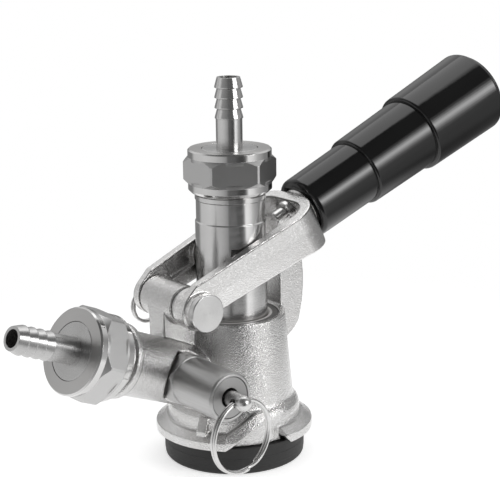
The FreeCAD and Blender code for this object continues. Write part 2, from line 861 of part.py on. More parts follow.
def yoke_side(width):
    """Side outline of the yoke: round eyes at the hinge, and deeper towards the handle."""
    end = 2 * yoke_reach
    slope = (yoke_low_tip - yoke_low_mid) / (yoke_reach - yoke_low_mid_at)
    low_end = yoke_low_tip + slope * (end - yoke_reach)
    outline = [
        vec(0, 0, 0), eye_point(eye_top_angle), vec(eye_top_flat, 0, yoke_top), vec(end, 0, yoke_top),
        vec(end, 0, -low_end), vec(yoke_low_mid_at, 0, -yoke_low_mid),
        vec(yoke_low_root_at, 0, -yoke_low_root), eye_point(eye_low_angle)]
    side = prism(outline, vec(0, -width, 0), vec(0, 2 * width, 0))
    return side.fuse(bar(eye_r, vec(0, -width, 0), vec(0, width, 0)))


def make_yoke_shell():
    """Outside of the yoke, drawn in above and below a crease along its faces."""
    start = -2 * eye_r
    top = plan_wire(yoke_half_root - yoke_draft_top, yoke_half_tip - yoke_draft_top,
                    yoke_corner_r, yoke_reach - yoke_draft_top, start, yoke_top)
    crease = plan_wire(yoke_half_root, yoke_half_tip, yoke_corner_r, yoke_reach, start, yoke_crease)
    low = plan_wire(yoke_half_root - yoke_draft_low, yoke_half_tip - yoke_draft_low,
                    yoke_low_corner_r, yoke_reach, start, -2 * yoke_low_mid)
    upper = Part.makeLoft([crease, top], True, True)
    lower = Part.makeLoft([low, crease], True, True)
    return upper.fuse(lower).common(yoke_side(2 * yoke_half_tip))


def yoke_wall_at():
    """Inner face of the yoke's end, along the lever."""
    return yoke_reach - yoke_wall_end


def make_channel():
    """Recess along the inside of the arms and the end, clear of the lug and plunger bosses."""
    channel = plan_solid(yoke_gap_root + channel_depth, yoke_gap_tip + channel_depth,
                         yoke_gap_corner_r + channel_depth, yoke_wall_at() + channel_depth / 2,
                         channel_start, channel_low, channel_top)
    lug_boss = bar(drive_lug_boss_r, vec(drive_lug_at, -2 * yoke_half_tip, drive_lug_rise),
                   vec(drive_lug_at, 2 * yoke_half_tip, drive_lug_rise))
    plunger_boss = bar(bush_flange_r + join, vec(yoke_wall_at() - join, 0, plunger_rise),
                       vec(yoke_reach, 0, plunger_rise))
    return channel.cut([lug_boss, plunger_boss])


def make_lever_yoke():
    deep = 2 * eye_r
    gap = plan_solid(yoke_gap_root, yoke_gap_tip, yoke_gap_corner_r, yoke_wall_at(),
                     -deep - join, -deep, deep)
    shape = make_yoke_shell().cut([gap, make_channel()])
    stem_end = yoke_reach + stem_length
    pieces = [
        bar(eye_r, vec(0, -eye_near_inner, 0), vec(0, -yoke_half_root + join, 0)),
        bar(eye_boss_r, vec(0, -yoke_half_root - eye_boss_height, 0), vec(0, -yoke_half_root + join, 0)),
        bar(stem_neck_r, vec(yoke_wall_at(), 0, handle_rise), vec(yoke_reach + join, 0, handle_rise)),
        bar(stem_r, vec(yoke_reach + join / 2, 0, handle_rise), vec(stem_end, 0, handle_rise))]
    lug_face = probe_r - probe_notch_depth + free_gap
    for side in (-1, 1):
        pieces.append(bar(drive_lug_r, vec(drive_lug_at, side * lug_face, drive_lug_rise),
                          vec(drive_lug_at, side * (yoke_gap_tip + join / 2), drive_lug_rise)))
    shape = shape.fuse(pieces)
    chamber_end = yoke_wall_at() + bush_length + spring_chamber_length
    slot_half = link_pin_r + seat_gap
    cuts = [
        bar(pin_r + slide_gap, vec(0, -2 * yoke_half_tip, 0), vec(0, 2 * yoke_half_tip, 0)),
        bar(bush_r, vec(yoke_wall_at() - join, 0, plunger_rise), vec(chamber_end, 0, plunger_rise)),
        bar(rod_r + slide_gap, vec(stem_end - rod_socket, 0, handle_rise),
            vec(stem_end + join, 0, handle_rise)),
        block(link_pin_at() - slot_half, link_pin_at() + plunger_pull + slot_half,
              -2 * stem_r, 2 * stem_r, plunger_rise - slot_half, plunger_rise + slot_half)]
    return on_lever(shape.cut(cuts).removeSplitter())


def link_pin_at():
    """Where the cross pin stands along the lever, in the middle of the plunger's collar."""
    return yoke_wall_at() + bush_length + free_gap + plunger_collar_height / 2


def along_lever(shape, rise):
    """Turned piece built up Z, laid along the lever at a height above the pin."""
    return on_lever(aimed(shape, vec(0, 0, rise), X_AXIS))


def make_plunger_bush():
    inner = plunger_r + slide_gap
    face = yoke_wall_at() - bush_flange_height
    seat = yoke_wall_at() - seat_gap / 2
    end = yoke_wall_at() + bush_length
    shape = spin([
        (inner, face), (bush_flange_r, face), (bush_flange_r, seat), (bush_r - slide_gap, seat),
        (bush_r - slide_gap, end), (inner, end)])
    return along_lever(bevelled(shape, plunger_edge, [(bush_flange_r, face)]), plunger_rise)


def make_plunger():
    collar = link_pin_at() - plunger_collar_height / 2
    collar_end = collar + plunger_collar_height
    tail = collar_end + plunger_tail_length
    shape = spin([
        (0, plunger_tip_at), (plunger_r, plunger_tip_at), (plunger_r, collar), (plunger_collar_r, collar),
        (plunger_collar_r, collar_end), (plunger_tail_r, collar_end), (plunger_tail_r, tail), (0, tail)])
    shape = bevelled(shape, plunger_edge, [(plunger_r, plunger_tip_at)])
    cross = bar(link_pin_r, vec(0, -2 * plunger_r, link_pin_at()), vec(0, 2 * plunger_r, link_pin_at()))
    return along_lever(shape.cut(cross), plunger_rise)


def make_plunger_spring():
    low = link_pin_at() + plunger_collar_height / 2 + slide_gap
    high = yoke_wall_at() + bush_length + spring_chamber_length - slide_gap
    spring = coil((plunger_tail_r + bush_r) / 2, spring_wire_r, high - low, plunger_spring_turns)
    return along_lever(moved(spring, vec(0, 0, low)), plunger_rise)


def make_handle_rod():
    start = yoke_reach + stem_length - rod_socket + seat_gap
    shape = disc(rod_r, start, start + rod_length)
    shape = bevelled(shape, nut_edge, [(rod_r, start), (rod_r, start + rod_length)])
    return along_lever(shape, handle_rise)


def link_bar(radius):
    near = vec(link_pin_at(), -2 * stem_r, plunger_rise)
    return bar(radius, near, vec(link_pin_at(), 2 * stem_r, plunger_rise))


def link_reach(cover):
    """Round core of the grip that the link pin stays inside."""
    radius = grip_front_r[0] - cover
    return bar(radius, vec(yoke_reach, 0, handle_rise), vec(yoke_reach + stem_length, 0, handle_rise))


def make_link_pin():
    """Pin through the grip and the plunger's collar, its ends sunk in the grip."""
    return on_lever(link_bar(link_pin_r - slide_gap / 2).common(link_reach(link_cover)))


def grip_starts():
    starts = [yoke_reach + grip_gap]
    for length in grip_lengths:
        starts.append(starts[-1] + length)
    return starts


def make_grip_sleeve():
    starts = grip_starts()
    end = starts[-1]
    inner = stem_r + slide_gap
    rod_bore = rod_r + slide_gap
    stem_end = yoke_reach + stem_length + free_gap
    corners = [(inner, starts[0])]
    for number in range(len(grip_lengths)):
        corners.append((grip_front_r[number], starts[number]))
        corners.append((grip_back_r[number], starts[number + 1]))
    floor = end - cap_spigot_length - seat_gap
    corners += [(cap_spigot_r + slide_gap, end), (cap_spigot_r + slide_gap, floor),
                (rod_bore, floor), (rod_bore, stem_end), (inner, stem_end)]
    shape = spin(corners)
    shape = rounded(shape, grip_nose, [(grip_front_r[0], starts[0])])
    shape = rounded(shape, grip_end_round, [(grip_back_r[-1], end)])
    for number in range(1, len(grip_lengths)):
        shape = rounded(shape, grip_lip, [(grip_front_r[number], starts[number])])
    shape = along_lever(shape, handle_rise)
    return shape.cut(on_lever(link_bar(link_pin_r).common(link_reach(link_cover - slide_gap))))


def make_grip_cap():
    end = grip_starts()[-1]
    shape = spin([
        (0, end - cap_spigot_length), (cap_spigot_r, end - cap_spigot_length),
        (cap_spigot_r, end + seat_gap / 2), (cap_r, end + seat_gap / 2), (cap_r, end + cap_height),
        (0, end + cap_height)])
    return along_lever(rounded(shape, cap_height / 2, [(cap_r, end + cap_height)]), handle_rise)


def parts():
    """Every piece of the coupler under its own name."""
    union = {"hex_nut": make_hex_nut(), "tailpiece": make_tailpiece(), "washer": make_union_washer()}
    pieces = {
        "body_casting": make_body_casting(),
        "body_seal": make_body_seal(),
        "probe_ring_lower": make_probe_seal_ring(0),
        "probe_ring_upper": make_probe_seal_ring(1),
        "probe_guide_bush": make_guide_bush(),
        "hinge_pin": make_hinge_pin(),
        "hinge_washer": make_pin_washer(),
        "hinge_pin_ring": make_hinge_pin_ring(),
        "probe_tube": make_probe_tube(),
        "probe_tip_seal": make_tip_seal(),
        "ball_seat": make_ball_seat(),
        "check_ball": make_check_ball(),
        "ball_stop_pin": make_ball_pin(),
        "gas_check_valve": make_gas_check_valve(),
        "relief_body": make_relief_body(),
        "relief_cap": make_relief_cap(),
        "relief_gasket": make_relief_gasket(),
        "relief_stem": make_relief_stem(),
        "relief_seal": make_relief_seal(),
        "relief_spring": make_relief_spring(),
        "relief_pull_ring": make_pull_ring(),
        "lever_yoke": make_lever_yoke(),
        "plunger_bush": make_plunger_bush(),
        "plunger": make_plunger(),
        "plunger_spring": make_plunger_spring(),
        "handle_rod": make_handle_rod(),
        "link_pin": make_link_pin(),
        "grip_sleeve": make_grip_sleeve(),
        "grip_end_cap": make_grip_cap()}
    for name, shape in union.items():
        pieces["beer_" + name] = on_beer_side(shape)
        pieces["gas_" + name] = on_gas_side(shape)
    return pieces


def main():
    os.makedirs("parts", exist_ok=True)
    for name, shape in parts().items():
        box = shape.BoundBox
        state = "valid" if shape.isValid() else "NOT VALID"
        print(f"{name:20s} {state} solids {len(shape.Solids)} volume {shape.Volume:10.1f} "
              f"x {box.XMin:.1f} {box.XMax:.1f} y {box.YMin:.1f} {box.YMax:.1f} "
              f"z {box.ZMin:.1f} {box.ZMax:.1f}")
        shape.exportStep(f"parts/{name}.step")


main()
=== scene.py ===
"""Looks of a keg coupler: cast body and yoke, polished probe, hex nuts, relief valve, black grip."""

import json
import math

import bpy
import numpy as np
from mathutils import Matrix, Vector

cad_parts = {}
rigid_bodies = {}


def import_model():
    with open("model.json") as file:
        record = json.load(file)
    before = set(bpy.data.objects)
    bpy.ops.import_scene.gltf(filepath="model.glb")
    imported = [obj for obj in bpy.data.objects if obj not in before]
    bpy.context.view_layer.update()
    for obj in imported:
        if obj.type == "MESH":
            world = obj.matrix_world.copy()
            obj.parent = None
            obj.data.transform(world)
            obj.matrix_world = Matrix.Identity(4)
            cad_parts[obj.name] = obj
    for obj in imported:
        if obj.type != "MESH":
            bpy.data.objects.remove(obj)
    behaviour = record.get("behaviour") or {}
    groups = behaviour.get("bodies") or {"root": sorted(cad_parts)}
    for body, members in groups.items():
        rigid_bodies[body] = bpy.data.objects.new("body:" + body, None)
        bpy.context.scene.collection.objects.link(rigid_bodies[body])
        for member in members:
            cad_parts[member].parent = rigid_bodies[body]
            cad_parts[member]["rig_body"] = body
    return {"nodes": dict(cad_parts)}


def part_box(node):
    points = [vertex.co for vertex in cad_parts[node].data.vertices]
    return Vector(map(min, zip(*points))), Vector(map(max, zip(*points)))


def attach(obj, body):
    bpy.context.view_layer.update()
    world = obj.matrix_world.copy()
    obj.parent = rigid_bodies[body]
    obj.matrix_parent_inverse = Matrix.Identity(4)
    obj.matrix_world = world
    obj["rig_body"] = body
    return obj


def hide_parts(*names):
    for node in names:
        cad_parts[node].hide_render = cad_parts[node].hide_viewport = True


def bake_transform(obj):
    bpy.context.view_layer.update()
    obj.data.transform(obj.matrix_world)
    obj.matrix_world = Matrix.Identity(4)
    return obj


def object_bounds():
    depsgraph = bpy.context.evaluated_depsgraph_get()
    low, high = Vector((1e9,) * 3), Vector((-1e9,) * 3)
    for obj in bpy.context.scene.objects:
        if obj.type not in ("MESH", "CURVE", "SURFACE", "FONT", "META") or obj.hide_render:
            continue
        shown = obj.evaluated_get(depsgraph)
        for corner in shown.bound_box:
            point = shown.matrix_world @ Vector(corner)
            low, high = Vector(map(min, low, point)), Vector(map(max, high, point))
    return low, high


MM = 0.001

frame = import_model()
cad_low, cad_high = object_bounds()
nodes = frame["nodes"]
scene = bpy.context.scene

# Places that the materials and pieces follow, in metres but for RELIEF_X, which is in mm
GAS_TILT = math.radians(22.6)
GAS_YAW = math.radians(5.9)
GAS_AXIS = Vector((-math.cos(GAS_TILT) * math.cos(GAS_YAW),
                   -math.cos(GAS_TILT) * math.sin(GAS_YAW),
                   math.sin(GAS_TILT)))
GAS_START = Vector((0, 0, 23.0)) * MM
LEVER_TILT = math.radians(22)
LEVER_AXIS = Vector((math.cos(LEVER_TILT), 0, math.sin(LEVER_TILT)))
LEVER_UP = Vector((-math.sin(LEVER_TILT), 0, math.cos(LEVER_TILT)))
PIVOT = Vector((-23.3, 0, 56.9)) * MM
RELIEF_AXIS = Vector((0, -1, 0))
RELIEF_X = -27.5
RELIEF_CENTRE = Vector((RELIEF_X, 0, 34.508)) * MM
UP = Vector((0, 0, 1))
ORIGIN = Vector((0, 0, 0))
ACROSS = Vector((0, 1, 0))
TOP_HEX = (93.4 * MM, 102.2 * MM)
GAS_HEX = (61.0 * MM, 69.8 * MM)
BUSH_OUTER_EDGE = 13.4 * MM
# Height above the hinge axis and width of the painted shadow line under the yoke's top rim
RIM_SHADOW_LINE = (7.85 * MM, 0.26 * MM)
RING_WIRE = 0.56 * MM
BODY_VOXEL = 0.26 * MM
YOKE_VOXEL = 0.25 * MM
SEAL_RADIUS = 23.7 * MM
PARTING_HEIGHT = 5.4 * MM


# Shader graphs

class Graph:
    """Short way to add nodes to one material, or to the world."""

    def __init__(self, name, family=bpy.data.materials, output="ShaderNodeOutputMaterial"):
        self.owner = family.new(name)
        self.owner.use_nodes = True
        self.tree = self.owner.node_tree
        self.tree.nodes.clear()
        self.output = self.tree.nodes.new(output)

    def add(self, kind, links=(), **settings):
        node = self.tree.nodes.new("ShaderNode" + kind)
        for key, value in settings.items():
            setattr(node, key, value)
        for key, value in dict(links).items():
            self.feed(node.inputs[key], value)
        return node

    def feed(self, socket, value):
        if isinstance(value, bpy.types.NodeSocket):
            self.tree.links.new(value, socket)
        else:
            socket.default_value = value

    def show(self, shader):
        self.tree.links.new(shader.outputs[0], self.output.inputs["Surface"])

    def principled(self, **values):
        self.show(self.add("BsdfPrincipled", {k.replace("_", " "): v for k, v in values.items()}))

    def coords(self, origin=ORIGIN, axis=UP, scale=(1, 1, 1)):
        """Coordinates in metres with Z along the piece's own axis."""
        place = self.add("TexCoord").outputs["Object"]
        turn = axis.to_track_quat("Z", "Y").to_euler()
        own = self.add("Mapping", {"Vector": place, "Location": origin, "Rotation": turn},
                       vector_type="TEXTURE").outputs[0]
        return self.add("Mapping", {"Vector": own, "Scale": scale}).outputs[0]

    def noise(self, vector, scale, detail=2.0, roughness=0.5):
        return self.add("TexNoise", {"Vector": vector, "Scale": scale, "Detail": detail,
                                     "Roughness": roughness}).outputs[0]

    def cells(self, vector, scale):
        return self.add("TexVoronoi", {"Vector": vector, "Scale": scale}).outputs["Distance"]

    def math(self, operation, a, b=0.0):
        node = self.add("Math", operation=operation)
        self.feed(node.inputs[0], a)
        self.feed(node.inputs[1], b)
        return node.outputs[0]

    def span(self, value, low, high, out_low=0.0, out_high=1.0):
        return self.add("MapRange", {"Value": value, "From Min": low, "From Max": high,
                                     "To Min": out_low, "To Max": out_high}).outputs[0]

    def mix(self, factor, a, b):
        node = self.add("Mix", data_type="RGBA")
        self.feed(node.inputs[0], factor)
        self.feed(node.inputs[6], a)
        self.feed(node.inputs[7], b)
        return node.outputs[2]

    def rim_distance(self, vector):
        """Distance from the piece's own axis."""
        flat = self.add("VectorMath", {0: vector, 1: (1, 1, 0)}, operation="MULTIPLY").outputs[0]
        return self.add("VectorMath", {0: flat}, operation="LENGTH").outputs["Value"]

    def across_grooves(self, origin, axis):
        """Direction across the grooves that a lathe leaves round an axis."""
        place = self.add("TexCoord").outputs["Object"]
        arm = self.add("VectorMath", {0: place, 1: origin}, operation="SUBTRACT").outputs[0]
        groove = self.add("VectorMath", {0: axis, 1: arm}, operation="CROSS_PRODUCT").outputs[0]
        facing = self.add("NewGeometry").outputs["Normal"]
        across = self.add("VectorMath", {0: facing, 1: groove}, operation="CROSS_PRODUCT").outputs[0]
        return self.add("VectorMath", {0: across}, operation="NORMALIZE").outputs[0]

    def soft_normal(self, radius):
        return self.add("Bevel", {"Radius": radius}, samples=4).outputs[0]

    def edge_mask(self, soft, sharpness=0.06):
        """One on worn edges and nought on flat faces."""
        plain = self.add("NewGeometry").outputs["Normal"]
        turn = self.add("VectorMath", {0: soft, 1: plain}, operation="DOT_PRODUCT").outputs["Value"]
        return self.span(turn, 1.0, 1.0 - sharpness)

    def bump(self, height, distance, normal):
        return self.add("Bump", {"Height": height, "Distance": distance, "Strength": 1.0,
                                 "Normal": normal}).outputs[0]

    def occlusion_mask(self, distance):
        """One in hollows, from ambient occlusion: the mask that paints shade there."""
        shade = self.add("AmbientOcclusion", {"Distance": distance}, samples=6).outputs["AO"]
        return self.span(shade, 0.75, 0.25)


def grey(level, warm=0.0):
    return (level * (1 + warm), level, level * (1 - warm), 1)


def cast_metal(name, pale, dark, grain_height, rough, line=None):
    """Nickel plate over a sand casting: a fine pebbled skin, polished brighter on the edges, with painted shade
    in the hollows and, where given, a painted shadow line under the yoke's top rim.
    """
    g = Graph(name)
    place = g.coords()
    cloud = g.noise(place, scale=70, detail=3.0)
    pebble = g.noise(place, scale=2000, detail=3.0, roughness=0.7)
    speck = g.cells(place, 2700)
    soft = g.soft_normal(0.25 * MM)
    worn = g.edge_mask(soft, 0.12)
    hollow_shade = g.occlusion_mask(5 * MM)
    base = g.mix(g.span(cloud, 0.3, 0.7), grey(pale * 0.95, 0.012), grey(pale, 0.006))
    # Painted shade: hollows darkened toward the dark grey
    base = g.mix(g.math("MULTIPLY", hollow_shade, 0.55), base, grey(dark, 0.05))
    base = g.mix(g.span(speck, 0.5, 0.2, 0.0, 0.4), base, grey(pale * 0.6, 0.03))
    base = g.mix(g.span(pebble, 0.52, 0.7, 0.0, 0.8), base, grey(min(1.0, pale * 1.4), 0.0))
    # Painted shadow: a dark line on the side faces just under the top rim's edge
    if line:
        level, width = line
        own = g.add("TexCoord").outputs["Object"]
        arm = g.add("VectorMath", {0: own, 1: PIVOT}, operation="SUBTRACT").outputs[0]
        rise = g.add("VectorMath", {0: arm, 1: LEVER_UP}, operation="DOT_PRODUCT").outputs["Value"]
        off = g.math("ABSOLUTE", g.math("SUBTRACT", rise, level))
        facing = g.add("VectorMath", {0: g.add("NewGeometry").outputs["Normal"], 1: LEVER_UP},
                       operation="DOT_PRODUCT").outputs["Value"]
        rim_shadow = g.math("MULTIPLY", g.span(off, width, width / 2), g.span(facing, 0.8, 0.6))
        base = g.mix(g.math("MULTIPLY", rim_shadow, 0.75), base, grey(0.06, 0.05))
    skin = g.math("ADD", g.span(pebble, 0.3, 0.7, rough - 0.05, rough + 0.06),
                  g.math("MULTIPLY", hollow_shade, 0.12))
    roughness = g.math("SUBTRACT", skin, g.math("MULTIPLY", worn, 0.08))
    height = g.math("ADD", pebble, g.math("MULTIPLY", speck, 0.7))
    normal = g.bump(height, grain_height, soft)
    g.principled(Base_Color=base, Metallic=1.0, Roughness=roughness, Normal=normal)
    return g.owner


def turned_metal(name, level, rough, origin=ORIGIN, axis=UP, lines=9000.0, depth=0.004 * MM, edge=0.2 * MM,
                 grooves=0.5):
    """Steel turned on a lathe: fine rings round its axis, brighter rubbed edges."""
    g = Graph(name)
    place = g.coords(origin, axis)
    across = g.rim_distance(place)
    along = g.add("SeparateXYZ", {0: place}).outputs[2]
    ring_place = g.add("CombineXYZ", {0: across, 1: along, 2: 0.0}).outputs[0]
    rings = g.noise(ring_place, scale=lines, detail=3.0, roughness=0.6)
    cloud = g.noise(place, scale=120, detail=3.0)
    stain = g.noise(place, scale=420, detail=4.0, roughness=0.65)
    soft = g.soft_normal(edge)
    worn = g.edge_mask(soft)
    hollow_shade = g.occlusion_mask(3 * MM)
    base = g.mix(g.span(cloud, 0.3, 0.7), grey(level * 0.94, 0.008), grey(level, 0.004))
    base = g.mix(g.math("MULTIPLY", worn, 0.6), base, grey(min(1.0, level * 1.2)))
    # Painted shade in the hollows
    base = g.mix(g.math("MULTIPLY", hollow_shade, 0.6), base, grey(level * 0.45, 0.03))
    roughness = g.math("ADD", g.span(rings, 0.35, 0.65, rough - 0.03, rough + 0.04),
                       g.span(stain, 0.45, 0.75, 0.0, 0.05))
    normal = g.bump(rings, depth, soft)
    g.principled(Base_Color=base, Metallic=1.0, Roughness=roughness, Normal=normal,
                 Anisotropic=grooves, Tangent=g.across_grooves(origin, axis))
    return g.owner


def hex_metal(name, level, rough, heights, flats, origin=ORIGIN, axis=UP):
    """Hex stock: satin drawn flats between two heights, and turned flanges."""
    g = Graph(name)
    place = g.coords(origin, axis)
    along = g.add("SeparateXYZ", {0: place}).outputs[2]
    flat = g.math("MULTIPLY", g.math("GREATER_THAN", along, heights[0]),
                  g.math("LESS_THAN", along, heights[1]))
    drawn = g.noise(g.coords(origin, axis, (1, 1, 0.06)), scale=5200, detail=2.0, roughness=0.6)
    pits = g.noise(place, scale=3300, detail=3.0, roughness=0.7)
    cloud = g.noise(place, scale=160, detail=3.0)
    soft = g.soft_normal(0.15 * MM)
    facing = g.add("VectorMath", {0: g.add("NewGeometry").outputs["Normal"], 1: axis},
                   operation="DOT_PRODUCT").outputs["Value"]
    end = g.math("GREATER_THAN", g.math("ABSOLUTE", facing), 0.9)
    base = g.mix(g.span(cloud, 0.3, 0.7), grey(level * 0.93, 0.01), grey(level, 0.005))
    base = g.mix(flat, base, grey(flats, 0.005))
    base = g.mix(end, base, grey(level * 0.8, 0.012))
    grain = g.math("ADD", pits, g.math("MULTIPLY", drawn, 0.6))
    satin = g.span(grain, 0.5, 1.1, rough - 0.04, rough + 0.07)
    shiny = g.span(pits, 0.3, 0.7, 0.10, 0.16)
    dull = g.math("MAXIMUM", flat, end)
    roughness = g.math("ADD", g.math("MULTIPLY", dull, satin),
                       g.math("MULTIPLY", g.math("SUBTRACT", 1.0, dull), shiny))
    normal = g.bump(g.math("MULTIPLY", grain, g.span(flat, 0.0, 1.0, 0.12, 1.0)), 0.008 * MM, soft)
    g.principled(Base_Color=base, Metallic=1.0, Roughness=roughness, Normal=normal,
                 Anisotropic=0.6, Tangent=g.across_grooves(origin, axis))
    return g.owner


def brushed_metal(name, level, rough, origin, axis):
    """Barrel and hex brushed lengthwise."""
    g = Graph(name)
    streaks = g.noise(g.coords(origin, axis, (1, 1, 0.03)), scale=4200, detail=3.0, roughness=0.65)
    place = g.coords(origin, axis)
    broad = g.noise(g.coords(origin, axis, (1, 1, 0.05)), scale=900, detail=2.0)
    soft = g.soft_normal(0.3 * MM)
    worn = g.edge_mask(soft)
    hollow_shade = g.occlusion_mask(2 * MM)
    base = g.mix(g.span(broad, 0.3, 0.7), grey(level * 0.88, 0.01), grey(level, 0.004))
    base = g.mix(g.math("MULTIPLY", worn, 0.6), base, grey(min(1.0, level * 1.2)))
    # Painted shade in the hollows
    base = g.mix(g.math("MULTIPLY", hollow_shade, 0.25), base, grey(level * 0.4, 0.03))
    fine = g.noise(place, scale=3000, detail=2.0)
    roughness = g.math("ADD", g.span(streaks, 0.3, 0.7, rough - 0.06, rough + 0.07),
                       g.math("MULTIPLY", fine, 0.04))
    normal = g.bump(streaks, 0.006 * MM, soft)
    g.principled(Base_Color=base, Metallic=1.0, Roughness=roughness, Normal=normal,
                 Anisotropic=0.6, Tangent=g.across_grooves(origin, axis))
    return g.owner


def wire_metal(name):
    """Drawn wire with fine die marks and painted shade between the turns."""
    g = Graph(name)
    place = g.coords()
    marks = g.noise(place, scale=1500, detail=4.0, roughness=0.7)
    cloud = g.noise(place, scale=240, detail=2.0)
    hollow_shade = g.occlusion_mask(1.2 * MM)
    base = g.mix(g.span(cloud, 0.3, 0.7), grey(0.56, 0.01), grey(0.66, 0.005))
    # Painted shade between the turns
    base = g.mix(hollow_shade, base, grey(0.2, 0.04))
    soft = g.soft_normal(0.1 * MM)
    g.principled(Base_Color=base, Metallic=1.0, Roughness=g.span(marks, 0.3, 0.7, 0.16, 0.28),
                 Normal=g.bump(marks, 0.006 * MM, soft))
    return g.owner


def glossy_plastic(name):
    """Polished black moulding with faint flow marks and hairline scuffs."""
    g = Graph(name)
    place = g.coords(PIVOT, LEVER_AXIS)
    flow = g.noise(place, scale=55, detail=3.0)
    scuff = g.noise(g.coords(PIVOT, LEVER_AXIS, (1, 1, 0.2)), scale=900, detail=5.0, roughness=0.75)
    grain = g.noise(place, scale=2600, detail=2.0)
    soft = g.soft_normal(0.35 * MM)
    base = g.mix(g.span(flow, 0.3, 0.7), grey(0.003), grey(0.0045, -0.02))
    roughness = g.math("ADD", g.span(flow, 0.3, 0.7, 0.07, 0.10), g.span(scuff, 0.6, 0.85, 0.0, 0.06))
    height = g.math("ADD", g.math("MULTIPLY", flow, 2.0), g.math("MULTIPLY", grain, 0.02))
    g.principled(Base_Color=base, Roughness=roughness, IOR=1.5, Normal=g.bump(height, 0.03 * MM, soft))
    return g.owner


def rubber(name):
    """Moulded black rubber: matt, fine grained, a little paler where it is rubbed."""
    g = Graph(name)
    place = g.coords()
    grain = g.noise(place, scale=2200, detail=3.0, roughness=0.6)
    bloom = g.noise(place, scale=110, detail=4.0)
    soft = g.soft_normal(0.3 * MM)
    worn = g.edge_mask(soft)
    base = g.mix(g.span(bloom, 0.3, 0.75), grey(0.016, 0.02), grey(0.024, 0.0))
    base = g.mix(g.math("MULTIPLY", worn, 0.5), base, grey(0.05))
    roughness = g.span(grain, 0.3, 0.7, 0.52, 0.68)
    g.principled(Base_Color=base, Roughness=roughness, Normal=g.bump(grain, 0.012 * MM, soft))
    return g.owner


def dull_plastic(name):
    """Natural acetal bushing: off white, faintly turned, with a painted shadow along its outer edge."""
    g = Graph(name)
    place = g.coords()
    grain = g.noise(place, scale=1800, detail=3.0)
    cloud = g.noise(place, scale=150, detail=3.0)
    base = g.mix(g.span(cloud, 0.3, 0.7), grey(0.66, 0.02), grey(0.74, 0.02))
    outer = g.math("GREATER_THAN", g.rim_distance(place), BUSH_OUTER_EDGE)
    # Painted shadow on the band outside the outer edge radius
    base = g.mix(g.math("MULTIPLY", outer, 0.85), base, grey(0.06, 0.04))
    g.principled(Base_Color=base, Roughness=g.span(grain, 0.3, 0.7, 0.38, 0.5),
                 Normal=g.bump(grain, 0.01 * MM, g.soft_normal(0.2 * MM)))
    return g.owner


# Mesh pieces

def new_piece(name, mesh, finish):
    """Put a smooth mesh with one material in the scene."""
    piece = bpy.data.objects.new(name, mesh)
    scene.collection.objects.link(piece)
    mesh.materials.clear()
    mesh.materials.append(finish)
    mesh.shade_smooth()
    return piece


def link_piece(name, mesh, node, finish):
    """Show a mesh in place of a CAD node, on that node's body."""
    piece = new_piece(name, mesh, finish)
    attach(piece, nodes[node]["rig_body"])
    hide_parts(node)


def remeshed(node, voxel):
    """The node's surface as an even closed mesh."""
    mesh = nodes[node].data.copy()
    shape = bpy.data.objects.new("shape_in_work", mesh)
    scene.collection.objects.link(shape)
    weld = shape.modifiers.new("weld", "WELD")
    weld.merge_threshold = 0.002 * MM
    grid = shape.modifiers.new("grid", "REMESH")
    grid.mode = "VOXEL"
    grid.voxel_size = voxel
    grid.use_smooth_shade = True
    made = bpy.data.meshes.new_from_object(shape.evaluated_get(bpy.context.evaluated_depsgraph_get()))
    bpy.data.objects.remove(shape)
    bpy.data.meshes.remove(mesh)
    return made


def mesh_arrays(mesh):
    points = np.zeros(len(mesh.vertices) * 3)
    mesh.vertices.foreach_get("co", points)
    edges = np.zeros(len(mesh.edges) * 2, np.int64)
    mesh.edges.foreach_get("vertices", edges)
    return points.reshape(-1, 3), edges.reshape(-1, 2)


def pull_to_mean(points, edges, degree):
    """Vector from each vertex to the mean of its neighbours."""
    total = np.empty_like(points)
    for axis in range(3):
        values = points[:, axis]
        total[:, axis] = (np.bincount(edges[:, 0], values[edges[:, 1]], len(points))
                          + np.bincount(edges[:, 1], values[edges[:, 0]], len(points)))
    return total / degree[:, None] - points


def vertex_normals(mesh, points):
    mesh.vertices.foreach_set("co", points.ravel())
    mesh.update()
    normals = np.zeros(len(points) * 3)
    mesh.vertices.foreach_get("normal", normals)
    return normals.reshape(-1, 3)


def soften(mesh, rounding, filling=0, where=None):
    """Round every edge a little, then fill the inner corners where the mask is one."""
    points, edges = mesh_arrays(mesh)
    degree = np.maximum(np.bincount(edges.ravel(), minlength=len(points)), 1).astype(float)
    for _ in range(rounding):
        points = points + 0.5 * pull_to_mean(points, edges, degree)
    if filling:
        mask = where(points)
        for step in range(filling):
            if step % 4 == 0:
                normals = vertex_normals(mesh, points)
            pull = pull_to_mean(points, edges, degree)
            outward = np.maximum((pull * normals).sum(1), 0) * mask
            points = points + 0.9 * outward[:, None] * normals
        for _ in range(2):
            points = points + 0.5 * pull_to_mean(points, edges, degree)
    mesh.vertices.foreach_set("co", points.ravel())
    mesh.update()
    return mesh


def smooth_step(values, low, high):
    t = np.clip((values - low) / (high - low), 0, 1)
    return t * t * (3 - 2 * t)


# Where the casting's inner corners are filled, in mm: each pair is where the filling fades in or out
FILLET_RADIUS = (17.0, 18.2)
FILLET_FOOT = (19.0, 21.0)
FILLET_TOP = (52.0, 54.0)
GAS_ARM_RADIUS = (8.6, 9.4)
GAS_ARM_END = 52
RELIEF_SEAT = (8.5, 9.5)
RELIEF_HALF_WIDTH = 14
RELIEF_RADIUS = 25


